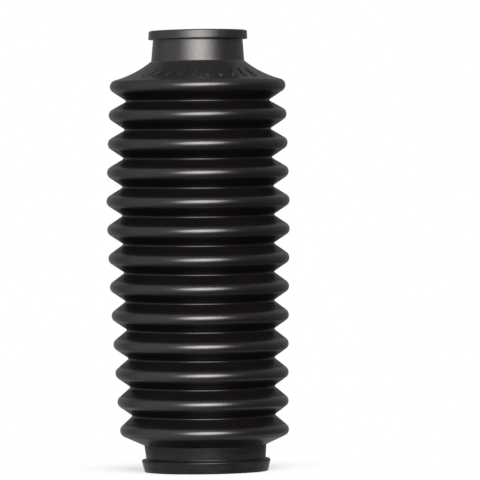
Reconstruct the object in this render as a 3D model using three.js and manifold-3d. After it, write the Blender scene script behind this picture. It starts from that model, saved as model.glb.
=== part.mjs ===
// Motorbike fork gaiter: one thin-walled rubber moulding that slides over a fork leg and keeps dirt off its stanchion.
// From the top down it has a lipped collar, a flared cone with a row of raised bars, thirteen folds that swell and
// narrow like a barrel, a shoulder, and a wider lipped collar that it stands on.
// The frame has +Z up along the line through both collars and its origin at the centre of the bottom collar's rim.
// The cone's raised bars face -Y. All lengths are in millimetres.
import * as THREE from "three";
import { mergeVertices, toCreasedNormals } from "three/addons/utils/BufferGeometryUtils.js";
import Module from "manifold-3d";

// Bellows
const wall = 2.0;
const foldCount = 13;
const foldPitch = 13.475;
const topCrestRadius = 41.2;
const widestCrestRadius = 43.0;
const bottomCrestRadius = 39.6;
const widestFold = 4.2; // counted down from the top fold, which is fold 0
const barrelPower = 1.2; // how quickly the crests narrow away from the widest fold
const topFoldDepth = 7.7;
const bottomFoldDepth = 6.2;
const topValleyLift = -0.15; // how far a valley lies above the middle of its two crests
const bottomValleyLift = 0.23;
const crestRound = 3.0;
const valleyRound = 0.65;

// Bottom collar
const bottomBoreRadius = 25.75;
const rimFootRadius = 29.1;
const rimTopRadius = 30.1;
const rimHeight = 5.2; // up to where the rim's top edge starts to round
const rimRise = 1.0; // from there to the foot of the band
const rimFootRound = 0.7;
const rimTopRound = 0.7;
const bandFootRadius = 28.0; // the band under the shoulder, where a clamp sits
const bandTopRadius = 28.6;
const bandHeight = 6.3;
const shoulderRise = 6.95; // from the top of the band to the lowest crest

// Top collar
const topBoreRadius = 18.75;
const coneRise = 11.7; // from the top crest to the foot of the neck
const flareRadius = 47; // the cone's hollow curve
const neckFootRadius = 21.75;
const neckFillet = 0.8;
const neckTopRadius = 21.0;
const neckHeight = 10.15;
const lipRadius = 23.15;
const lipHeight = 4.1;
const lipRound = 0.8;

// Corners that both collars share
const cornerRound = 0.4;
const mouthChamfer = 0.5;

// Raised bars on the cone
const barCount = 10;
const barPitch = 11; // degrees round the cone
const barRowTurn = 4.5; // degrees by which the row sits right of the front
const barWidth = 2.0;
const barLength = 8.4;
const barSlant = 20; // degrees from the cone's slope
const barHeight = 0.6;
const barRoot = 1.0; // how deep a bar reaches into the wall
const barCentreRadius = 30.8;

// How the soft moulding stands by itself: its middle bows sideways while both collars stay in line.
const restingBow = 1.15;

// Smoothness
const roundSegments = 32;
const crestSteps = 3;
const valleySteps = 1;
const innerCrestSteps = 1;
const innerValleySteps = 2;
const flareSteps = 3;
const cornerSteps = 1;
const creaseAngle = 35; // degrees; sharper edges than this are shaded as edges

const bandFootHeight = rimHeight + rimRise;
const bandTopHeight = bandFootHeight + bandHeight;
const lowestCrestHeight = bandTopHeight + shoulderRise;
const topCrestHeight = lowestCrestHeight + (foldCount - 1) * foldPitch;
const neckFootHeight = topCrestHeight + coneRise;
const lipFootHeight = neckFootHeight + neckHeight;
const totalHeight = lipFootHeight + lipHeight;

const up = new THREE.Vector2(0, 1);
const down = new THREE.Vector2(0, -1);
const inward = new THREE.Vector2(-1, 0);

// A round in the section: its centre, its signed radius and how many straight pieces stand for it.
// A positive bend bulges out of the rubber, a negative one hollows it, and zero is a plain corner.
function round(radius, height, bend, steps) {
  return { centre: new THREE.Vector2(radius, height), bend, steps };
}

// The outward normal of the straight flank that leaves one round and meets the next one below it.
function flankNormal(from, to) {
  const along = to.centre.clone().sub(from.centre);
  const distance = along.length();
  along.divideScalar(distance);
  const outward = new THREE.Vector2(-along.y, along.x);
  const share = (from.bend - to.bend) / distance;
  const rest = Math.sqrt(Math.max(0, 1 - share * share));
  return along.multiplyScalar(share).add(outward.multiplyScalar(rest));
}

// The points of a line that runs down a chain of rounds, with a straight flank between each two.
function chainPoints(rounds, firstNormal, lastNormal) {
  const points = [];
  rounds.forEach((item, i) => {
    const enters = i === 0 ? firstNormal : flankNormal(rounds[i - 1], item);
    const leaves = i === rounds.length - 1 ? lastNormal : flankNormal(item, rounds[i + 1]);
    const start = enters.angle();
    let turn = leaves.angle() - start;
    turn -= Math.round(turn / (2 * Math.PI)) * 2 * Math.PI;
    const steps = item.bend === 0 ? 0 : item.steps;
    for (let k = 0; k <= steps; k++) {
      const angle = start + (steps === 0 ? 0 : (turn * k) / steps);
      const reach = new THREE.Vector2(Math.cos(angle), Math.sin(angle)).multiplyScalar(item.bend);
      points.push(item.centre.clone().add(reach));
    }
  });
  return points;
}

// A crest's outer radius. Fold 0 is the top one.
function crestRadius(fold) {
  const above = fold < widestFold;
  const endRadius = above ? topCrestRadius : bottomCrestRadius;
  const endDistance = above ? widestFold : foldCount - 1 - widestFold;
  const share = Math.abs(fold - widestFold) / endDistance;
  return widestCrestRadius - (widestCrestRadius - endRadius) * share ** barrelPower;
}

// The rounds of all crests and of the valleys between them, from the top down, on the outer skin.
function foldRounds() {
  const rounds = [];
  for (let fold = 0; fold < foldCount; fold++) {
    const height = topCrestHeight - fold * foldPitch;
    rounds.push(round(crestRadius(fold) - crestRound, height, crestRound, crestSteps));
    if (fold < foldCount - 1) {
      const share = fold / Math.max(1, foldCount - 2);
      const depth = THREE.MathUtils.lerp(topFoldDepth, bottomFoldDepth, share);
      const lift = THREE.MathUtils.lerp(topValleyLift, bottomValleyLift, share);
      const valleyRadius = (crestRadius(fold) + crestRadius(fold + 1)) / 2 - depth;
      const valleyHeight = height - foldPitch / 2 + lift;
      rounds.push(round(valleyRadius + valleyRound, valleyHeight, -valleyRound, valleySteps));
    }
  }
  return rounds;
}

// The cone's hollow curve: it passes through the neck's foot and runs smoothly into the top crest.
function flareRound(topCrest) {
  const corner = new THREE.Vector2(neckFootRadius, neckFootHeight);
  const toCrest = topCrest.centre.clone().sub(corner);
  const gap = toCrest.length();
  const crestReach = flareRadius + crestRound;
  const along = (gap * gap + flareRadius ** 2 - crestReach ** 2) / (2 * gap);
  const aside = Math.sqrt(flareRadius ** 2 - along ** 2);
  toCrest.divideScalar(gap);
  const outward = new THREE.Vector2(-toCrest.y, toCrest.x);
  const centre = corner.add(toCrest.multiplyScalar(along)).add(outward.multiplyScalar(aside));
  return round(centre.x, centre.y, -flareRadius, flareSteps);
}

// The fillet between the neck and the flare, tangent to both.
function neckRound() {
  const radius = neckFootRadius + neckFillet;
  const across = flare.centre.x - radius;
  const height = flare.centre.y - Math.sqrt((flareRadius - neckFillet) ** 2 - across ** 2);
  return round(radius, height, -neckFillet, cornerSteps);
}

const folds = foldRounds();
const flare = flareRound(folds[0]);
const neckCorner = neckRound();
const shoulderCorner = round(bandTopRadius, bandTopHeight, 0, 0);

// The outer skin, from the edge of the top face down to the edge of the bottom face.
function outerSkin() {
  const rounds = [
    round(lipRadius - lipRound, totalHeight - lipRound, lipRound, cornerSteps + 1),
    round(lipRadius - cornerRound, lipFootHeight + cornerRound, cornerRound, cornerSteps),
    round(neckTopRadius + cornerRound, lipFootHeight - cornerRound, -cornerRound, cornerSteps),
    neckCorner,
    flare,
    ...folds,
    shoulderCorner,
    round(bandFootRadius + cornerRound, bandFootHeight + cornerRound, -cornerRound, cornerSteps),
    round(rimTopRadius - rimTopRound, rimHeight, rimTopRound, cornerSteps + 1),
    round(rimFootRadius - rimFootRound, rimFootRound, rimFootRound, cornerSteps + 1),
  ];
  return chainPoints(rounds, up, down);
}

// The inner skin between the two bores: it keeps one wall's thickness from the cone, the folds and the shoulder.
function innerSkin() {
  const inset = [flare, ...folds].map((item) => {
    const hollow = item.bend < 0;
    const steps = hollow ? innerValleySteps : innerCrestSteps;
    const bend = hollow ? item.bend - wall : Math.max(item.bend - wall, 0);
    return round(item.centre.x, item.centre.y, bend, steps);
  });
  const across = flare.centre.x - topBoreRadius;
  const boreFootHeight = flare.centre.y - Math.sqrt((flareRadius + wall) ** 2 - across ** 2);
  const shoulder = flankNormal(folds[folds.length - 1], shoulderCorner);
  const aside = (bandTopRadius - bottomBoreRadius) * shoulder.x;
  const boreTopHeight = bandTopHeight + (aside - wall) / shoulder.y;
  const topCorner = round(topBoreRadius, boreFootHeight, 0, 0);
  const bottomCorner = round(bottomBoreRadius, boreTopHeight, 0, 0);
  return chainPoints([topCorner, ...inset, bottomCorner], inward, inward);
}

// The whole section, as one closed line round the rubber.
function section() {
  const points = [
    new THREE.Vector2(topBoreRadius + mouthChamfer, totalHeight),
    ...outerSkin(),
    new THREE.Vector2(bottomBoreRadius + mouthChamfer, 0),
    new THREE.Vector2(bottomBoreRadius, mouthChamfer),
    ...innerSkin().reverse(),
    new THREE.Vector2(topBoreRadius, totalHeight - mouthChamfer),
  ];
  points.push(points[0].clone());
  return points.reverse();
}

// A raised bar with square ends, standing on the cone's slope and rooted in its wall.
function barGeometry(index) {
  const outline = new THREE.Shape();
  outline.moveTo(-barWidth / 2, -barLength / 2);
  outline.lineTo(barWidth / 2, -barLength / 2);
  outline.lineTo(barWidth / 2, barLength / 2);
  outline.lineTo(-barWidth / 2, barLength / 2);
  outline.closePath();
  const depth = barRoot + barHeight;
  const bar = new THREE.ExtrudeGeometry(outline, { depth, bevelEnabled: false });
  bar.translate(0, 0, -barRoot);
  bar.rotateZ(THREE.MathUtils.degToRad(-barSlant));
  const across = flare.centre.x - barCentreRadius;
  const slope = Math.asin(across / flareRadius);
  bar.rotateX(slope);
  const height = flare.centre.y - Math.sqrt(flareRadius ** 2 - across ** 2);
  bar.translate(0, -barCentreRadius, height);
  const turn = barRowTurn + (index - (barCount - 1) / 2) * barPitch;
  bar.rotateZ(THREE.MathUtils.degToRad(turn));
  return bar;
}

const wasm = await Module();
wasm.setup();

function solidFrom(geometry) {
  const bare = geometry.clone();
  bare.deleteAttribute("normal");
  bare.deleteAttribute("uv");
  const merged = mergeVertices(bare, 1e-4);
  return new wasm.Manifold(
    new wasm.Mesh({
      numProp: 3,
      vertProperties: merged.attributes.position.array,
      triVerts: new Uint32Array(merged.index.array),
    }),
  );
}

function geometryFrom(solid) {
  const mesh = solid.getMesh();
  const geometry = new THREE.BufferGeometry();
  geometry.setAttribute("position", new THREE.BufferAttribute(mesh.vertProperties.slice(), 3));
  geometry.setIndex(new THREE.BufferAttribute(mesh.triVerts.slice(), 1));
  return geometry;
}

// Bows the middle of the moulding towards -X, as the soft rubber settles when it stands.
function settle(geometry) {
  const position = geometry.attributes.position;
  for (let i = 0; i < position.count; i++) {
    const share = (position.getZ(i) - bandTopHeight) / (neckFootHeight - bandTopHeight);
    const bow = Math.sin(Math.PI * THREE.MathUtils.clamp(share, 0, 1)) * restingBow;
    position.setX(i, position.getX(i) - bow);
  }
}

function gaiterGeometry() {
  const turned = new THREE.LatheGeometry(section(), roundSegments);
  turned.rotateX(Math.PI / 2);
  let solid = solidFrom(turned);
  for (let index = 0; index < barCount; index++) {
    solid = solid.add(solidFrom(barGeometry(index)));
  }
  const geometry = geometryFrom(solid);
  settle(geometry);
  return toCreasedNormals(geometry, THREE.MathUtils.degToRad(creaseAngle));
}

const rubber = new THREE.MeshStandardMaterial({ color: 0x161517, roughness: 0.42, metalness: 0 });
const gaiter = new THREE.Mesh(gaiterGeometry(), rubber);
gaiter.name = "gaiter";

const part = new THREE.Group();
part.add(gaiter);
export default part;
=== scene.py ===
"""A motorbike fork gaiter in satin black moulded rubber, standing on a pale studio floor.

The gaiter is one moulding. Its section is a chain of rounds with straight flanks between them, turned once
round the upright axis. Its frame has +Z up, the centre of the bottom rim as the origin and the raised bars
towards -Y. All lengths are in metres.
"""

import logging
import math
from collections.abc import Iterable, Sequence
from dataclasses import dataclass, field
from enum import Enum

import bmesh
import bpy
from mathutils import Matrix, Vector


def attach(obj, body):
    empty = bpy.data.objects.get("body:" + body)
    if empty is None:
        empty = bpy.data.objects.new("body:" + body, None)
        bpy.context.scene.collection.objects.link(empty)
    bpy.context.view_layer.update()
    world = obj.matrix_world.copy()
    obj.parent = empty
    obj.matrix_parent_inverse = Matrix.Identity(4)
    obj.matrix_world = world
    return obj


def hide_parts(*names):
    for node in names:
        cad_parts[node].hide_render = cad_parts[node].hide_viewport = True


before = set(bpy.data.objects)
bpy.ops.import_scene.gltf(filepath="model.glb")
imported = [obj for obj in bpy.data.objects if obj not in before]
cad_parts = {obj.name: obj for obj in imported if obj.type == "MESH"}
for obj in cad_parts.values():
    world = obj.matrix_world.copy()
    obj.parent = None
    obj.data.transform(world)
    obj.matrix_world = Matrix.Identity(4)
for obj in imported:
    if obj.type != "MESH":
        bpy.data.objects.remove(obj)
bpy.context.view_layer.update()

LOG = logging.getLogger("fork_gaiter")
NODE = "gaiter"
BODY = "root"

METRE = 1.0
MERGE_DISTANCE = 1e-6
CUT_DISTANCE = 1e-7
WHITE = (1.0, 1.0, 1.0, 1.0)
LONG_FLANK = 4
FULL_TURN = 2 * math.pi
UP = Vector((0, 1))
DOWN = Vector((0, -1))
INWARD = Vector((-1, 0))


class Skin(Enum):
    """The side of the rubber wall that a point of the section belongs to."""

    OUTER = 1
    INNER = 2


class PanelPlace(Enum):
    """Where a panel sits in the softbox, whose light fades from its core to its edge."""

    CORE = "core"
    MIDDLE = "middle"
    EDGE = "edge"


@dataclass(frozen=True)
class Round:
    """One round of the section: an arc that the line follows.

    A positive bend bulges out of the rubber, a negative one hollows it, and zero is a plain corner.
    """

    radius: float
    height: float
    bend: float = 0.0
    steps: int = 0

    @property
    def centre(self) -> Vector:
        """The arc's centre, as radius and height."""
        return Vector((self.radius, self.height))

    def inset(self, wall: float, crest_steps: int, valley_steps: int) -> "Round":
        """Give the round that runs one wall's thickness inside this one.

        Args:
            wall: Thickness of the rubber.
            crest_steps: Straight pieces in the inset of a bulging round.
            valley_steps: Straight pieces in the inset of a hollow one.

        Returns:
            The inner skin's round, with the same centre.
        """
        if self.bend < 0:
            return Round(self.radius, self.height, self.bend - wall, valley_steps)
        return Round(self.radius, self.height, max(self.bend - wall, 0.0), crest_steps)


def flank_normal(above: Round, below: Round) -> Vector:
    """Find the outward normal of the straight flank between two rounds.

    Args:
        above: The round that the flank leaves.
        below: The round that it meets further down.

    Returns:
        A unit vector of radius and height.
    """
    along = below.centre - above.centre
    distance = along.length
    along.normalize()
    outward = Vector((-along.y, along.x))
    share = (above.bend - below.bend) / distance
    return along * share + outward * math.sqrt(max(0.0, 1 - share * share))


def chain_points(rounds: Sequence[Round], first: Vector, last: Vector) -> list[Vector]:
    """Run a line down a chain of rounds, with a straight flank between each two.

    Args:
        rounds: The rounds from the top down.
        first: Outward normal where the line starts.
        last: Outward normal where it ends.

    Returns:
        The line's points, as radius and height.
    """
    normals = [first, *(flank_normal(a, b) for a, b in zip(rounds, rounds[1:])), last]
    points = []
    for item, enters, leaves in zip(rounds, normals, normals[1:]):
        start = math.atan2(enters.y, enters.x)
        turn = math.remainder(math.atan2(leaves.y, leaves.x) - start, FULL_TURN)
        steps = item.steps if item.bend else 0
        for step in range(steps + 1):
            angle = start + turn * step / max(steps, 1)
            points.append(item.centre + Vector((math.cos(angle), math.sin(angle))) * item.bend)
    return points


def with_flank_ends(points: Sequence[Vector], margin: float) -> list[Vector]:
    """Add a point near each end of every long flank, so that smooth shading leaves the flank flat.

    A flank is long where it measures more than LONG_FLANK margins.

    Args:
        points: The line's points.
        margin: Distance of an added point from the flank's end.

    Returns:
        The line with the added points.
    """
    line = [points[0]]
    for start, end in zip(points, points[1:]):
        length = (end - start).length
        if length > LONG_FLANK * margin:
            line += [start.lerp(end, margin / length), start.lerp(end, 1 - margin / length)]
        line.append(end)
    return line


@dataclass
class FoldStack:
    """The bellows' folds, which swell and narrow like a barrel from the top down."""

    count: int = 13
    pitch: float = 0.013475
    top_crest: float = 0.0412
    widest_crest: float = 0.043
    bottom_crest: float = 0.0396
    widest_fold: float = 4.2
    barrel_power: float = 1.2
    top_depth: float = 0.0077
    bottom_depth: float = 0.0062
    top_valley_lift: float = -0.00015
    bottom_valley_lift: float = 0.00023
    crest_round: float = 0.003
    valley_round: float = 0.00065
    crest_steps: int = 10
    valley_steps: int = 5

    def crest_radius(self, fold: int) -> float:
        """Work out a crest's outer radius.

        Args:
            fold: The fold's number, counted down from 0 at the top.

        Returns:
            The crest's radius.
        """
        above = fold < self.widest_fold
        end = self.top_crest if above else self.bottom_crest
        span = self.widest_fold if above else self.count - 1 - self.widest_fold
        share = abs(fold - self.widest_fold) / span
        return self.widest_crest - (self.widest_crest - end) * share**self.barrel_power

    def rounds(self, top_height: float) -> list[Round]:
        """List the rounds of the crests and of the valleys between them.

        Args:
            top_height: Height of the top crest.

        Returns:
            The rounds from the top down.
        """
        rounds = []
        for fold in range(self.count):
            height = top_height - fold * self.pitch
            crest = self.crest_radius(fold)
            rounds.append(Round(crest - self.crest_round, height, self.crest_round, self.crest_steps))
            if fold < self.count - 1:
                share = fold / (self.count - 2)
                depth = self.top_depth + (self.bottom_depth - self.top_depth) * share
                lift = self.top_valley_lift + (self.bottom_valley_lift - self.top_valley_lift) * share
                radius = (crest + self.crest_radius(fold + 1)) / 2 - depth + self.valley_round
                rounds.append(
                    Round(radius, height - self.pitch / 2 + lift, -self.valley_round, self.valley_steps)
                )
        return rounds


@dataclass
class BottomCollar:
    """The wide collar that the gaiter stands on: a rim, a band for the clamp and the folds' shoulder."""

    bore: float = 0.02575
    rim_foot: float = 0.0291
    rim_top: float = 0.0301
    rim_height: float = 0.0052
    rim_rise: float = 0.001
    rim_foot_round: float = 0.0007
    rim_top_round: float = 0.0007
    band_foot: float = 0.028
    band_top: float = 0.0286
    band_height: float = 0.0063
    shoulder_rise: float = 0.00695
    corner: float = 0.0004
    corner_steps: int = 4
    mouth_chamfer: float = 0.0005

    @property
    def band_foot_height(self) -> float:
        """Height of the band's foot, on the rim's top."""
        return self.rim_height + self.rim_rise

    @property
    def band_top_height(self) -> float:
        """Height of the band's top, where the shoulder starts."""
        return self.band_foot_height + self.band_height

    @property
    def lowest_crest_height(self) -> float:
        """Height of the lowest crest above the shoulder."""
        return self.band_top_height + self.shoulder_rise

    @property
    def shoulder_corner(self) -> Round:
        """The corner between the shoulder and the band."""
        return Round(self.band_top, self.band_top_height)

    def rounds(self) -> list[Round]:
        """List the rounds from the shoulder's corner down to the rim's foot."""
        steps = self.corner_steps
        return [
            self.shoulder_corner,
            Round(self.band_foot + self.corner, self.band_foot_height + self.corner, -self.corner, steps),
            Round(self.rim_top - self.rim_top_round, self.rim_height, self.rim_top_round, steps),
            Round(self.rim_foot - self.rim_foot_round, self.rim_foot_round, self.rim_foot_round, steps),
        ]

    def bore_corner(self, lowest_crest: Round, wall: float) -> Round:
        """Find where the bore meets the inside of the shoulder.

        Args:
            lowest_crest: The round above the shoulder.
            wall: Thickness of the rubber.

        Returns:
            The inner corner.
        """
        normal = flank_normal(lowest_crest, self.shoulder_corner)
        aside = (self.band_top - self.bore) * normal.x
        return Round(self.bore, self.band_top_height + (aside - wall) / normal.y)


@dataclass
class TopCollar:
    """The narrow collar that grips the fork's tube: a lip, a neck and the flare down to the top fold."""

    bore: float = 0.01875
    cone_rise: float = 0.0117
    flare_radius: float = 0.047
    flare_steps: int = 12
    neck_foot: float = 0.02175
    neck_fillet: float = 0.0008
    neck_top: float = 0.021
    neck_height: float = 0.01015
    lip: float = 0.02315
    lip_height: float = 0.0041
    lip_round: float = 0.0008
    corner: float = 0.0004
    corner_steps: int = 4
    mouth_chamfer: float = 0.0005

    def lip_foot_height(self, top_crest: Round) -> float:
        """Height of the lip's underside."""
        return top_crest.height + self.cone_rise + self.neck_height

    def total_height(self, top_crest: Round) -> float:
        """Height of the top face."""
        return self.lip_foot_height(top_crest) + self.lip_height

    def flare(self, top_crest: Round) -> Round:
        """Find the flare's hollow arc, through the neck's foot and smoothly into the top crest.

        Args:
            top_crest: The round of the top fold.

        Returns:
            The flare's round.
        """
        corner = Vector((self.neck_foot, top_crest.height + self.cone_rise))
        to_crest = top_crest.centre - corner
        gap = to_crest.length
        reach = self.flare_radius + top_crest.bend
        along = (gap**2 + self.flare_radius**2 - reach**2) / (2 * gap)
        aside = math.sqrt(self.flare_radius**2 - along**2)
        to_crest.normalize()
        centre = corner + to_crest * along + Vector((-to_crest.y, to_crest.x)) * aside
        return Round(centre.x, centre.y, -self.flare_radius, self.flare_steps)

    def rounds(self, top_crest: Round) -> list[Round]:
        """List the rounds from the lip down to the flare.

        Args:
            top_crest: The round of the top fold.

        Returns:
            The rounds from the top down.
        """
        flare = self.flare(top_crest)
        fillet_radius = self.neck_foot + self.neck_fillet
        across = flare.radius - fillet_radius
        fillet_height = flare.height - math.sqrt((self.flare_radius - self.neck_fillet) ** 2 - across**2)
        lip_foot = self.lip_foot_height(top_crest)
        total = self.total_height(top_crest)
        steps = self.corner_steps
        return [
            Round(self.lip - self.lip_round, total - self.lip_round, self.lip_round, steps),
            Round(self.lip - self.corner, lip_foot + self.corner, self.corner, steps),
            Round(self.neck_top + self.corner, lip_foot - self.corner, -self.corner, steps),
            Round(fillet_radius, fillet_height, -self.neck_fillet, steps),
            flare,
        ]

    def bore_corner(self, flare: Round, wall: float) -> Round:
        """Find where the bore meets the inside of the flare.

        Args:
            flare: The flare's round.
            wall: Thickness of the rubber.

        Returns:
            The inner corner.
        """
        across = flare.radius - self.bore
        return Round(self.bore, flare.height - math.sqrt((self.flare_radius + wall) ** 2 - across**2))


@dataclass
class RaisedBars:
    """A row of plain raised bars on the front of the cone."""

    count: int = 10
    pitch: float = math.radians(11)
    row_turn: float = math.radians(4.5)
    width: float = 0.002
    length: float = 0.0084
    slant: float = math.radians(20)
    height: float = 0.0006
    root: float = 0.001
    centre_radius: float = 0.0308
    edge_round: float = 0.00028
    edge_steps: int = 3

    def build(self, flare: Round) -> bmesh.types.BMesh:
        """Make all the bars, rooted in the cone's wall.

        Args:
            flare: The flare's round, which the bars stand on.

        Returns:
            The bars as one bmesh of closed shells.
        """
        across = flare.radius - self.centre_radius
        tilt = math.asin(across / -flare.bend)
        height = flare.height - math.sqrt(flare.bend**2 - across**2)
        bars = bmesh.new()
        for index in range(self.count):
            turn = self.row_turn + (index - (self.count - 1) / 2) * self.pitch
            place = (
                Matrix.Rotation(turn, 4, "Z")
                @ Matrix.Translation((0, -self.centre_radius, height))
                @ Matrix.Rotation(tilt, 4, "X")
                @ Matrix.Rotation(-self.slant, 4, "Z")
                @ Matrix.Translation((0, 0, (self.height - self.root) / 2))
                @ Matrix.Diagonal((self.width, self.length, self.height + self.root, 1))
            )
            bmesh.ops.create_cube(bars, size=1, matrix=place)
        bmesh.ops.bevel(
            bars,
            geom=bars.edges[:],
            offset=self.edge_round,
            segments=self.edge_steps,
            profile=0.5,
            affect="EDGES",
            material=-1,
        )
        return bars


@dataclass
class Gaiter:
    """The whole moulding: its section, turned into a wall, with its bars and its parting line."""

    wall: float = 0.002
    folds: FoldStack = field(default_factory=FoldStack)
    top: TopCollar = field(default_factory=TopCollar)
    bottom: BottomCollar = field(default_factory=BottomCollar)
    bars: RaisedBars = field(default_factory=RaisedBars)
    resting_bow: float = 0.0014
    resting_lean: float = 0.0007
    foot_shift: float = 0.0004
    foot_start: float = 0.0063
    foot_reach: float = 0.026
    forward_sag: float = math.radians(1.5)
    sideways_sag: float = math.radians(0.35)
    turn_steps: int = 144
    inner_crest_steps: int = 4
    inner_valley_steps: int = 6
    flank_margin: float = 0.0004
    flash_half_width: float = 0.00018
    flash_height: float = 0.0001
    flash_clearance: float = 0.0012
    sharp_angle: float = math.radians(35)

    @property
    def top_crest_height(self) -> float:
        """Height of the top crest."""
        return self.bottom.lowest_crest_height + (self.folds.count - 1) * self.folds.pitch

    @property
    def neck_foot_height(self) -> float:
        """Height of the neck's foot."""
        return self.top_crest_height + self.top.cone_rise

    @property
    def fold_rounds(self) -> list[Round]:
        """The rounds of the fold stack, at their height."""
        return self.folds.rounds(self.top_crest_height)

    def outer_line(self) -> list[Vector]:
        """Draw the outer skin from the edge of the top face to the edge of the bottom one."""
        folds = self.fold_rounds
        rounds = [*self.top.rounds(folds[0]), *folds, *self.bottom.rounds()]
        return with_flank_ends(chain_points(rounds, UP, DOWN), self.flank_margin)

    def inner_line(self) -> list[Vector]:
        """Draw the inner skin from the bottom face's bore up to the top face's bore."""
        folds = self.fold_rounds
        flare = self.top.flare(folds[0])
        rounds = [
            self.top.bore_corner(flare, self.wall),
            *(
                item.inset(self.wall, self.inner_crest_steps, self.inner_valley_steps)
                for item in (flare, *folds)
            ),
            self.bottom.bore_corner(folds[-1], self.wall),
        ]
        line = with_flank_ends(chain_points(rounds, INWARD, INWARD), self.flank_margin)
        total = self.top.total_height(folds[0])
        return [
            Vector((self.bottom.bore + self.bottom.mouth_chamfer, 0)),
            Vector((self.bottom.bore, self.bottom.mouth_chamfer)),
            *reversed(line),
            Vector((self.top.bore, total - self.top.mouth_chamfer)),
            Vector((self.top.bore + self.top.mouth_chamfer, total)),
        ]

    def turn(self) -> bmesh.types.BMesh:
        """Turn the closed section once round the upright axis.

        Returns:
            The wall as one closed shell, with each point's skin in the layer "skin".
        """
        shell = bmesh.new()
        layer = shell.verts.layers.int.new("skin")
        ring = []
        for skin, line in ((Skin.OUTER, self.outer_line()), (Skin.INNER, self.inner_line())):
            for point in line:
                vert = shell.verts.new((point.x, 0, point.y))
                vert[layer] = skin.value
                ring.append(vert)
        edges = [shell.edges.new(pair) for pair in zip(ring, [*ring[1:], ring[0]])]
        bmesh.ops.spin(
            shell,
            geom=[*ring, *edges],
            cent=(0, 0, 0),
            axis=(0, 0, 1),
            dvec=(0, 0, 0),
            angle=FULL_TURN,
            steps=self.turn_steps,
            use_merge=True,
            use_duplicate=False,
        )
        bmesh.ops.remove_doubles(shell, verts=shell.verts, dist=MERGE_DISTANCE)
        bmesh.ops.recalc_face_normals(shell, faces=shell.faces)
        return shell

    def raise_flash(self, shell: bmesh.types.BMesh) -> None:
        """Raise the fine parting line that the two halves of the mould leave on the left and right.

        Args:
            shell: The turned wall, which this changes.
        """
        for side in (-1, 1):
            bmesh.ops.bisect_plane(
                shell,
                geom=[*shell.verts, *shell.edges, *shell.faces],
                dist=CUT_DISTANCE,
                plane_co=(0, side * self.flash_half_width, 0),
                plane_no=(0, 1, 0),
            )
        shell.normal_update()
        layer = shell.verts.layers.int["skin"]
        top = self.top.total_height(self.fold_rounds[0]) - self.flash_clearance
        for vert in shell.verts:
            on_line = abs(vert.co.y) < self.flash_half_width / 2
            between_faces = self.flash_clearance < vert.co.z < top
            if on_line and between_faces and vert[layer] == Skin.OUTER.value:
                vert.co += vert.normal * self.flash_height

    def settle(self, mesh: bpy.types.Mesh) -> None:
        """Let the soft rubber settle: it leans and bows towards -X, and its folds sag forwards and right.

        Args:
            mesh: The finished mesh, which this changes.
        """
        total = self.top.total_height(self.fold_rounds[0])
        for vert in mesh.vertices:
            share = min(max(vert.co.z / total, 0.0), 1.0)
            slack = math.sin(math.pi * share)
            droop = math.tan(self.forward_sag) * vert.co.y - math.tan(self.sideways_sag) * vert.co.x
            vert.co.z += droop * math.sqrt(slack)
            lift = min(max(vert.co.z - self.foot_start, 0.0) / self.foot_reach, 1.0)
            vert.co.x -= self.resting_bow * slack + self.resting_lean * share + self.foot_shift * lift

    def build(self, name: str) -> bpy.types.Object:
        """Make the moulding.

        Args:
            name: The piece's name.

        Returns:
            The finished object, at the origin.
        """
        shell = self.turn()
        self.raise_flash(shell)
        body = object_from(shell, name)
        bars = object_from(self.bars.build(self.top.flare(self.fold_rounds[0])), name + "_bars")
        fuse(body, bars)
        self.settle(body.data)
        body.data.shade_smooth()
        body.data.set_sharp_from_angle(angle=self.sharp_angle)
        return body


def scene_object(name: str, data: bpy.types.ID) -> bpy.types.Object:
    """Add an object with the given mesh, lamp or camera to the scene."""
    thing = bpy.data.objects.new(name, data)
    bpy.context.scene.collection.objects.link(thing)
    return thing


def aim_at(thing: bpy.types.Object, target: Vector, roll: float) -> None:
    """Turn a lamp or the camera towards a point.

    Args:
        thing: The lamp or the camera, at its place.
        target: The point.
        roll: Its roll round its line of sight.
    """
    level = (target - thing.location).to_track_quat("-Z", "Y").to_matrix().to_4x4()
    thing.rotation_euler = (level @ Matrix.Rotation(roll, 4, "Z")).to_euler()


def object_from(shell: bmesh.types.BMesh, name: str) -> bpy.types.Object:
    """Turn a bmesh into an object of the scene.

    Args:
        shell: The bmesh, which is freed.
        name: Name of the object and its mesh.

    Returns:
        The new object.
    """
    mesh = bpy.data.meshes.new(name)
    shell.to_mesh(mesh)
    shell.free()
    return scene_object(name, mesh)


def fuse(body: bpy.types.Object, added: bpy.types.Object) -> None:
    """Join one object into another as a single closed shell, and remove the joined one.

    Args:
        body: The object that stays.
        added: The object that is joined into it.
    """
    union = body.modifiers.new("fuse", "BOOLEAN")
    union.operation = "UNION"
    union.solver = "EXACT"
    union.object = added
    depsgraph = bpy.context.evaluated_depsgraph_get()
    fused = bpy.data.meshes.new_from_object(body.evaluated_get(depsgraph))
    body.modifiers.clear()
    old = body.data
    body.data = fused
    bpy.data.meshes.remove(old)
    bpy.data.meshes.remove(added.data)
    fused.name = body.name


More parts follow.
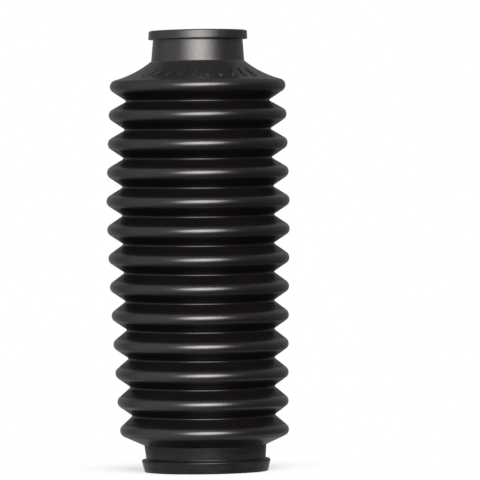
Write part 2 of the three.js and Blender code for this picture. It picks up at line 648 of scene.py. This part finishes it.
class NodeTree:
    """A short way to write a shader node tree."""

    def __init__(self, tree: bpy.types.NodeTree) -> None:
        """Keep the tree.

        Args:
            tree: The tree that the nodes go into.
        """
        self.tree = tree

    def add(self, kind: str, **values: object) -> bpy.types.Node:
        """Add a node and set its fields.

        Args:
            kind: The node's type.
            **values: Fields of the node, by name.

        Returns:
            The new node.
        """
        node = self.tree.nodes.new(kind)
        for name, value in values.items():
            setattr(node, name, value)
        return node

    def link(self, source: bpy.types.NodeSocket, target: bpy.types.NodeSocket) -> None:
        """Join an output to an input."""
        self.tree.links.new(source, target)

    @property
    def place(self) -> bpy.types.NodeSocket:
        """Position on the object."""
        return self.add("ShaderNodeTexCoord").outputs["Object"]

    def give(self, value: "bpy.types.NodeSocket | float", socket: bpy.types.NodeSocket) -> None:
        """Link a value to a socket where it comes from a node, or else set it there.

        Args:
            value: A socket or a plain number.
            socket: The input that takes it.
        """
        if isinstance(value, bpy.types.NodeSocket):
            self.link(value, socket)
        else:
            socket.default_value = value

    def math(self, operation: str, *inputs: "bpy.types.NodeSocket | float") -> bpy.types.NodeSocket:
        """Add a math node.

        Args:
            operation: Blender's name of the operation.
            *inputs: Sockets or plain numbers.

        Returns:
            The result's socket.
        """
        node = self.add("ShaderNodeMath", operation=operation)
        for socket, value in zip(node.inputs, inputs):
            self.give(value, socket)
        return node.outputs[0]

    def blend(
        self,
        share: bpy.types.NodeSocket,
        low: "bpy.types.NodeSocket | float",
        high: "bpy.types.NodeSocket | float",
    ) -> bpy.types.NodeSocket:
        """Blend two values.

        Args:
            share: The high value's share.
            low: Result at a share of 0.
            high: Result at a share of 1.

        Returns:
            The result's socket.
        """
        node = self.add("ShaderNodeMix", data_type="FLOAT")
        self.link(share, node.inputs["Factor"])
        self.give(low, node.inputs["A"])
        self.give(high, node.inputs["B"])
        return node.outputs["Result"]

    def blend_colour(
        self,
        share: bpy.types.NodeSocket,
        low: "bpy.types.NodeSocket | Sequence[float]",
        high: "bpy.types.NodeSocket | Sequence[float]",
    ) -> bpy.types.NodeSocket:
        """Blend two colours.

        Args:
            share: The second colour's share.
            low: Result at a share of 0.
            high: Result at a share of 1.

        Returns:
            The result's socket.
        """
        node = self.add("ShaderNodeMix", data_type="RGBA")
        self.link(share, node.inputs["Factor"])
        for name, colour in (("A", low), ("B", high)):
            socket = next(s for s in node.inputs if s.name == name and s.type == "RGBA")
            self.give(colour, socket)
        return next(s for s in node.outputs if s.type == "RGBA")

    def ramp(
        self, value: bpy.types.NodeSocket, start: float, end: float, low: float = 0.0, high: float = 1.0
    ) -> bpy.types.NodeSocket:
        """Map a value smoothly from one range to another.

        Args:
            value: The socket to read.
            start: Where the range starts.
            end: Where the range ends.
            low: Result at the start.
            high: Result at the end.

        Returns:
            The result's socket.
        """
        node = self.add("ShaderNodeMapRange", interpolation_type="SMOOTHSTEP")
        for name, number in (("From Min", start), ("From Max", end), ("To Min", low), ("To Max", high)):
            node.inputs[name].default_value = number
        self.link(value, node.inputs["Value"])
        return node.outputs["Result"]

    def flat_noise(self, size: float, flatness: float) -> bpy.types.NodeSocket:
        """Give a noise whose spots are wider than they are high.

        Args:
            size: A spot's width.
            flatness: The spot's width divided by its height.

        Returns:
            The noise, from 0 to 1.
        """
        stretch = self.add("ShaderNodeMapping")
        self.link(self.place, stretch.inputs["Vector"])
        stretch.inputs["Scale"].default_value = (1.0, 1.0, flatness)
        noise = self.add("ShaderNodeTexNoise")
        self.link(stretch.outputs["Vector"], noise.inputs["Vector"])
        noise.inputs["Scale"].default_value = 1 / size
        return noise.outputs["Fac"]

    def bump(
        self, height: bpy.types.NodeSocket, normal: "bpy.types.NodeSocket | None" = None
    ) -> bpy.types.NodeSocket:
        """Turn a height into a normal.

        Args:
            height: The height, in metres.
            normal: The normal that it is added to, where that isn't the surface's own.

        Returns:
            The bumped normal.
        """
        node = self.add("ShaderNodeBump")
        node.inputs["Distance"].default_value = METRE
        self.link(height, node.inputs["Height"])
        if normal is not None:
            self.link(normal, node.inputs["Normal"])
        return node.outputs["Normal"]

    def mottled(
        self, group: bpy.types.ShaderNodeTree, finish: "RubberFinish | FloorFinish"
    ) -> bpy.types.ShaderNodeGroup:
        """Place the mottled surface's group with the values of a finish.

        Args:
            group: The mottled surface's node group.
            finish: The finish that says how large its patches and its grain are.

        Returns:
            The group's node.
        """
        surface = self.add("ShaderNodeGroup", node_tree=group)
        surface.inputs["Patch Size"].default_value = finish.patch_size
        surface.inputs["Grain Size"].default_value = finish.grain_size
        surface.inputs["Grain Height"].default_value = finish.grain_height
        return surface


def cleared_nodes(owner: "bpy.types.Material | bpy.types.World") -> NodeTree:
    """Turn on the nodes of a material or a world, and empty them."""
    owner.use_nodes = True
    owner.node_tree.nodes.clear()
    return NodeTree(owner.node_tree)


def mottle_group(patch_detail: float = 3.0, grain_detail: float = 2.0) -> bpy.types.ShaderNodeTree:
    """Make the node group for a surface that is uneven in large soft patches and in fine grain.

    Args:
        patch_detail: How finely the patches are broken up.
        grain_detail: How finely the grain is broken up.

    Returns:
        A group that gives a mask of the patches and a bumped normal.
    """
    group = bpy.data.node_groups.new("mottled_surface", "ShaderNodeTree")
    for name in ("Patch Size", "Grain Size", "Grain Height"):
        group.interface.new_socket(name, in_out="INPUT", socket_type="NodeSocketFloat")
    group.interface.new_socket("Patches", in_out="OUTPUT", socket_type="NodeSocketFloat")
    group.interface.new_socket("Normal", in_out="OUTPUT", socket_type="NodeSocketVector")
    nodes = NodeTree(group)
    given = nodes.add("NodeGroupInput")
    patches = nodes.add("ShaderNodeTexNoise")
    grain = nodes.add("ShaderNodeTexNoise")
    for noise, size, detail in (
        (patches, "Patch Size", patch_detail),
        (grain, "Grain Size", grain_detail),
    ):
        nodes.link(nodes.place, noise.inputs["Vector"])
        nodes.link(nodes.math("DIVIDE", 1.0, given.outputs[size]), noise.inputs["Scale"])
        noise.inputs["Detail"].default_value = detail
    grain_height = nodes.math("MULTIPLY", grain.outputs["Fac"], given.outputs["Grain Height"])
    result = nodes.add("NodeGroupOutput")
    nodes.link(patches.outputs["Fac"], result.inputs["Patches"])
    nodes.link(nodes.bump(grain_height), result.inputs["Normal"])
    return group


@dataclass(frozen=True)
class Zones:
    """The gaiter's parts, as masks in a material's tree."""

    nodes: NodeTree
    shape: Gaiter
    edge: float = 0.001

    @property
    def height(self) -> bpy.types.NodeSocket:
        """Height on the moulding, without the folds' sag."""
        unsag = self.nodes.add("ShaderNodeVectorMath", operation="DOT_PRODUCT")
        self.nodes.link(self.nodes.place, unsag.inputs[0])
        sag = (math.tan(self.shape.sideways_sag), -math.tan(self.shape.forward_sag), 1.0)
        unsag.inputs[1].default_value = sag
        return unsag.outputs["Value"]

    def above(self, height: float) -> bpy.types.NodeSocket:
        """Mask everything above a height."""
        return self.nodes.ramp(self.height, height, height + self.edge)

    @property
    def collar(self) -> bpy.types.NodeSocket:
        """The neck and its lip."""
        return self.above(self.shape.neck_foot_height - self.edge)

    @property
    def top(self) -> bpy.types.NodeSocket:
        """The cone and all above it."""
        return self.above(self.shape.top_crest_height + self.edge)

    @property
    def bellows(self) -> bpy.types.NodeSocket:
        """The folds and all above them."""
        return self.above(self.shape.bottom.lowest_crest_height - 2 * self.edge)

    @property
    def foot(self) -> bpy.types.NodeSocket:
        """The bottom collar and the shoulder."""
        return self.nodes.math("SUBTRACT", 1.0, self.bellows)

    def fold_wave(self) -> bpy.types.NodeSocket:
        """Give a wave that is 1 on each crest and -1 in each valley."""
        wave = FULL_TURN / self.shape.folds.pitch
        start = -self.shape.top_crest_height * wave
        return self.nodes.math("COSINE", self.nodes.math("MULTIPLY_ADD", self.height, wave, start))

    def wave_at(self, reach: float) -> float:
        """Work out the wave's value at a distance from a crest."""
        return math.cos(reach * FULL_TURN / self.shape.folds.pitch)


@dataclass(frozen=True)
class RubberFinish:
    """Satin black moulded rubber, dusty on the cone and streaked with dust on the foot.

    Handling has polished its crests and its neck, and its flanks are matt.
    """

    colour: tuple[float, float, float] = (0.0025, 0.0020, 0.0021)
    dusty_colour: tuple[float, float, float] = (0.0037, 0.0030, 0.0032)
    cone_colour: tuple[float, float, float] = (0.0085, 0.0078, 0.0080)
    smooth_roughness: float = 0.27
    rough_roughness: float = 0.32
    specular_level: float = 0.1
    polish_roughness: float = 0.3
    polish_ior: float = 1.5
    crest_polish: float = 0.85
    low_crest_polish: float = 1.0
    low_folds: float = 3.5
    flank_polish: float = 0.05
    valley_polish: float = 0.4
    cone_polish: float = 0.34
    collar_polish: float = 1.0
    collar_dust: float = 0.65
    foot_polish: float = 0.24
    crest_reach: float = 0.0022
    flank_start: float = 0.0035
    flank_end: float = 0.0058
    valley_reach: float = 0.0063
    patch_size: float = 0.018
    patch_range: tuple[float, float] = (0.3, 0.7)
    grain_size: float = 0.0006
    grain_height: float = 0.000006
    relief_size: float = 0.00035
    relief_flatness: float = 3.0
    relief_height: float = 0.00007
    foot_relief_share: float = 0.3
    streak_size: float = 0.009
    streak_flatness: float = 9.0
    streak_range: tuple[float, float] = (0.35, 0.65)
    foot_dust: float = 0.62

    def polish(self, zones: Zones) -> bpy.types.NodeSocket:
        """Say how polished the rubber is.

        Args:
            zones: The gaiter's parts.

        Returns:
            The polish, from 0 to 1.
        """
        nodes = zones.nodes
        wave = zones.fold_wave()
        crests = (zones.wave_at(self.flank_start), zones.wave_at(self.crest_reach))
        valleys = (zones.wave_at(self.flank_end), zones.wave_at(self.valley_reach))
        stack = zones.shape.folds
        low = zones.shape.bottom.lowest_crest_height + self.low_folds * stack.pitch
        crest = nodes.ramp(zones.height, low, low + stack.pitch, self.low_crest_polish, self.crest_polish)
        on_crest = nodes.blend(nodes.ramp(wave, *crests), self.flank_polish, crest)
        in_valley = nodes.ramp(wave, *valleys, self.flank_polish, self.valley_polish)
        folds = nodes.math("MAXIMUM", on_crest, in_valley)
        top = nodes.blend(zones.collar, self.cone_polish, self.collar_polish)
        return nodes.blend(zones.bellows, self.foot_polish, nodes.blend(zones.top, folds, top))

    def tint(self, zones: Zones, patches: bpy.types.NodeSocket) -> bpy.types.NodeSocket:
        """Give the colour: thin dust in patches, more of it on the cone and streaks of it on the foot.

        Args:
            zones: The gaiter's parts.
            patches: The mask of the patches.

        Returns:
            The colour.
        """
        nodes = zones.nodes
        thin = nodes.blend_colour(patches, (*self.colour, 1), (*self.dusty_colour, 1))
        clean = nodes.math("MULTIPLY", zones.collar, 1 - self.collar_dust)
        top_dust = nodes.math("SUBTRACT", zones.top, clean)
        noise = nodes.flat_noise(self.streak_size, self.streak_flatness)
        streaks = nodes.ramp(noise, *self.streak_range, high=self.foot_dust)
        dust = nodes.math("MULTIPLY_ADD", zones.foot, streaks, top_dust)
        return nodes.blend_colour(dust, thin, (*self.cone_colour, 1))

    def relief(self, zones: Zones, normal: bpy.types.NodeSocket) -> bpy.types.NodeSocket:
        """Add the fine, flat relief that the mould leaves round both collars.

        Args:
            zones: The gaiter's parts.
            normal: The grain's normal.

        Returns:
            The normal with the relief.
        """
        nodes = zones.nodes
        noise = nodes.flat_noise(self.relief_size, self.relief_flatness)
        collars = nodes.math("MULTIPLY_ADD", zones.foot, self.foot_relief_share, zones.collar)
        amount = nodes.math("MULTIPLY", collars, self.relief_height)
        return nodes.bump(nodes.math("MULTIPLY", noise, amount), normal)

    def material(self, group: bpy.types.ShaderNodeTree, shape: Gaiter) -> bpy.types.Material:
        """Make the material.

        Args:
            group: The mottled surface's node group.
            shape: The gaiter's shape, which says where the crests are.

        Returns:
            The rubber.
        """
        material = bpy.data.materials.new("satin_black_rubber")
        nodes = cleared_nodes(material)
        zones = Zones(nodes, shape)
        surface = nodes.mottled(group, self)
        patches = surface.outputs["Patches"]
        rubber = nodes.add("ShaderNodeBsdfPrincipled")
        rubber.inputs["Specular IOR Level"].default_value = self.specular_level
        rubber.inputs["Coat Roughness"].default_value = self.polish_roughness
        rubber.inputs["Coat IOR"].default_value = self.polish_ior
        gloss = nodes.ramp(patches, *self.patch_range, self.smooth_roughness, self.rough_roughness)
        normal = self.relief(zones, surface.outputs["Normal"])
        nodes.link(self.tint(zones, patches), rubber.inputs["Base Color"])
        nodes.link(gloss, rubber.inputs["Roughness"])
        nodes.link(self.polish(zones), rubber.inputs["Coat Weight"])
        nodes.link(normal, rubber.inputs["Normal"])
        nodes.link(normal, rubber.inputs["Coat Normal"])
        output = nodes.add("ShaderNodeOutputMaterial")
        nodes.link(rubber.outputs["BSDF"], output.inputs["Surface"])
        return material


@dataclass(frozen=True)
class FloorFinish:
    """Matt white studio paper that runs out into the white background."""

    colour: tuple[float, float, float] = (0.8, 0.8, 0.8)
    roughness: float = 0.9
    patch_size: float = 0.1
    grain_size: float = 0.002
    grain_height: float = 0.00005
    fade_start: float = 0.03
    fade_end: float = 0.11
    clearness: float = 0.55

    def material(self, group: bpy.types.ShaderNodeTree) -> bpy.types.Material:
        """Make the material.

        Args:
            group: The mottled surface's node group.

        Returns:
            The floor's paper.
        """
        material = bpy.data.materials.new("white_studio_paper")
        nodes = cleared_nodes(material)
        surface = nodes.mottled(group, self)
        paper = nodes.add("ShaderNodeBsdfPrincipled")
        paper.inputs["Base Color"].default_value = (*self.colour, 1)
        paper.inputs["Roughness"].default_value = self.roughness
        nodes.link(surface.outputs["Normal"], paper.inputs["Normal"])
        reach = nodes.add("ShaderNodeVectorMath", operation="LENGTH")
        nodes.link(nodes.place, reach.inputs[0])
        fade = nodes.ramp(reach.outputs["Value"], self.fade_start, self.fade_end, low=self.clearness)
        clear = nodes.add("ShaderNodeBsdfTransparent")
        mix = nodes.add("ShaderNodeMixShader")
        nodes.link(fade, mix.inputs["Fac"])
        nodes.link(paper.outputs["BSDF"], mix.inputs[1])
        nodes.link(clear.outputs["BSDF"], mix.inputs[2])
        output = nodes.add("ShaderNodeOutputMaterial")
        nodes.link(mix.outputs["Shader"], output.inputs["Surface"])
        return material


@dataclass(frozen=True)
class Panel:
    """One of the oval panels that a softbox is made of."""

    place: PanelPlace
    width: float
    depth: float
    watts: float


@dataclass(frozen=True)
class Softbox:
    """A soft lamp that faces the gaiter from a given direction and is brightest in its middle."""

    azimuth: float = math.radians(4.7)
    elevation: float = math.radians(19)
    roll: float = math.radians(22)
    distance: float = 1.5
    aim_height: float = 0.11
    colour: tuple[float, float, float] = (1.0, 0.965, 0.93)
    panels: tuple[Panel, ...] = (
        Panel(PanelPlace.CORE, width=0.4, depth=0.34, watts=6.5),
        Panel(PanelPlace.MIDDLE, width=0.7, depth=0.58, watts=13),
        Panel(PanelPlace.EDGE, width=1.7, depth=1.2, watts=51),
    )

    def hang(self, panel: Panel) -> bpy.types.Object:
        """Hang one panel and aim it at the gaiter.

        Args:
            panel: The panel.

        Returns:
            The lamp's object.
        """
        light = bpy.data.lights.new(panel.place.value + "_panel", "AREA")
        light.shape = "ELLIPSE"
        light.size = panel.width
        light.size_y = panel.depth
        light.energy = panel.watts
        light.color = self.colour
        lamp = scene_object(light.name, light)
        aim = Vector((0, 0, self.aim_height))
        turn = Matrix.Rotation(self.azimuth, 4, "Z")
        rise = Matrix.Rotation(-self.elevation, 4, "X")
        lamp.location = aim + turn @ rise @ Vector((0, -self.distance, 0))
        aim_at(lamp, aim, self.roll)
        lamp.visible_camera = False
        return lamp

    def place(self) -> list[bpy.types.Object]:
        """Hang all the panels."""
        return [self.hang(panel) for panel in self.panels]


@dataclass(frozen=True)
class Surroundings:
    """The white studio round the gaiter, which is darker on the right and below.

    Each range says between which values of a direction's part across, back or up the light changes.
    """

    camera_light: float = 1.0
    fill: float = 0.4
    left_light: float = 0.76
    left_back_light: float = 0.27
    right_front_light: float = 0.15
    right_light: float = 0.3
    right_low_share: float = 0.6
    floor_shade: float = 0.5
    left_floor_shade: float = 0.2
    left_back_range: tuple[float, float] = (-0.1, 0.5)
    left_ground_range: tuple[float, float] = (-0.95, -0.5)
    right_back_range: tuple[float, float] = (-0.5, 0.4)
    right_rise_range: tuple[float, float] = (0.0, 0.7)
    right_ground_range: tuple[float, float] = (-0.4, 0.0)
    side_range: tuple[float, float] = (-0.3, 0.6)

    def studio(self, nodes: NodeTree) -> bpy.types.NodeSocket:
        """Say how bright the studio is in each direction, as the gaiter's gloss shows it.

        Args:
            nodes: The world's tree.

        Returns:
            The brightness.
        """
        direction = nodes.add("ShaderNodeSeparateXYZ")
        nodes.link(nodes.add("ShaderNodeTexCoord").outputs["Generated"], direction.inputs["Vector"])
        across, back, up = direction.outputs
        left = nodes.ramp(back, *self.left_back_range, self.left_light, self.left_back_light)
        left_ground = nodes.ramp(up, *self.left_ground_range, low=self.left_floor_shade)
        right = nodes.ramp(back, *self.right_back_range, self.right_front_light, self.right_light)
        right_rise = nodes.ramp(up, *self.right_rise_range, low=self.right_low_share)
        right_ground = nodes.ramp(up, *self.right_ground_range, low=self.floor_shade)
        right_level = nodes.math("MULTIPLY", nodes.math("MULTIPLY", right, right_rise), right_ground)
        side = nodes.ramp(across, *self.side_range)
        return nodes.blend(side, nodes.math("MULTIPLY", left, left_ground), right_level)

    def build(self) -> None:
        """Make the world: plain white for the camera, and a soft studio for the gaiter's gloss."""
        world = bpy.data.worlds.new("studio")
        nodes = cleared_nodes(world)
        bpy.context.scene.world = world
        ray = nodes.add("ShaderNodeLightPath")
        glossy, through = ray.outputs["Is Glossy Ray"], ray.outputs["Is Transmission Ray"]
        unseen = nodes.blend(nodes.math("MAXIMUM", glossy, through), self.fill, self.studio(nodes))
        background = nodes.add("ShaderNodeBackground")
        background.inputs["Color"].default_value = WHITE
        strength = nodes.blend(ray.outputs["Is Camera Ray"], unseen, self.camera_light)
        nodes.link(strength, background.inputs["Strength"])
        output = nodes.add("ShaderNodeOutputWorld")
        nodes.link(background.outputs["Background"], output.inputs["Surface"])


@dataclass(frozen=True)
class Viewpoint:
    """The photograph's viewpoint: far off, level with the upper folds, a long lens and a slight roll."""

    distance: float = 2.3
    eye_height: float = 0.12245
    picture_centre_height: float = 0.10845
    picture_centre_side: float = 0.0173
    metres_per_pixel: float = 0.00047
    picture_pixels: int = 480
    sensor_width: float = 36.0
    nearest_seen: float = 0.1
    farthest_seen: float = 20.0
    roll: float = math.radians(-0.84)

    def place(self) -> None:
        """Set the camera up."""
        data = bpy.data.cameras.new("camera")
        data.sensor_width = self.sensor_width
        picture_width = self.picture_pixels * self.metres_per_pixel
        data.lens = self.sensor_width * self.distance / picture_width
        data.clip_start = self.nearest_seen
        data.clip_end = self.farthest_seen
        camera = scene_object("camera", data)
        camera.location = (self.picture_centre_side, -self.distance, self.eye_height)
        aim_at(camera, Vector((self.picture_centre_side, 0, self.picture_centre_height)), self.roll)
        bpy.context.scene.camera = camera


@dataclass
class Studio:
    """The floor, the lamps, the surroundings and the camera."""

    floor_radius: float = 0.35
    floor_sides: int = 96
    surroundings: Surroundings = field(default_factory=Surroundings)
    viewpoint: Viewpoint = field(default_factory=Viewpoint)
    key: Softbox = field(default_factory=Softbox)

    def lay_floor(self, material: bpy.types.Material) -> None:
        """Lay the round floor under the gaiter, unattached to the gaiter's body.

        Args:
            material: The floor's finish.
        """
        shell = bmesh.new()
        bmesh.ops.create_circle(shell, cap_ends=True, segments=self.floor_sides, radius=self.floor_radius)
        floor = object_from(shell, "floor")
        floor.data.materials.append(material)

    def build(self, floor_material: bpy.types.Material) -> None:
        """Build everything round the gaiter.

        Args:
            floor_material: The floor's finish.
        """
        self.viewpoint.place()
        self.surroundings.build()
        for lamp in self.key.place():
            LOG.info("lamp %s", lamp.name)
        self.lay_floor(floor_material)
        bpy.context.scene.view_settings.view_transform = "Standard"


def main() -> None:
    """Build the studio and the gaiter, and log the gaiter's number of faces."""
    logging.basicConfig(level=logging.INFO, format="%(name)s: %(message)s")
    surface = mottle_group()
    Studio().build(FloorFinish().material(surface))
    shape = Gaiter()
    gaiter = shape.build("gaiter_moulding")
    gaiter.data.materials.clear()
    gaiter.data.materials.append(RubberFinish().material(surface, shape))
    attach(gaiter, BODY)
    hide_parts(NODE)
    LOG.info("%s: %d faces", gaiter.name, len(gaiter.data.polygons))


if __name__ == "__main__":
    main()
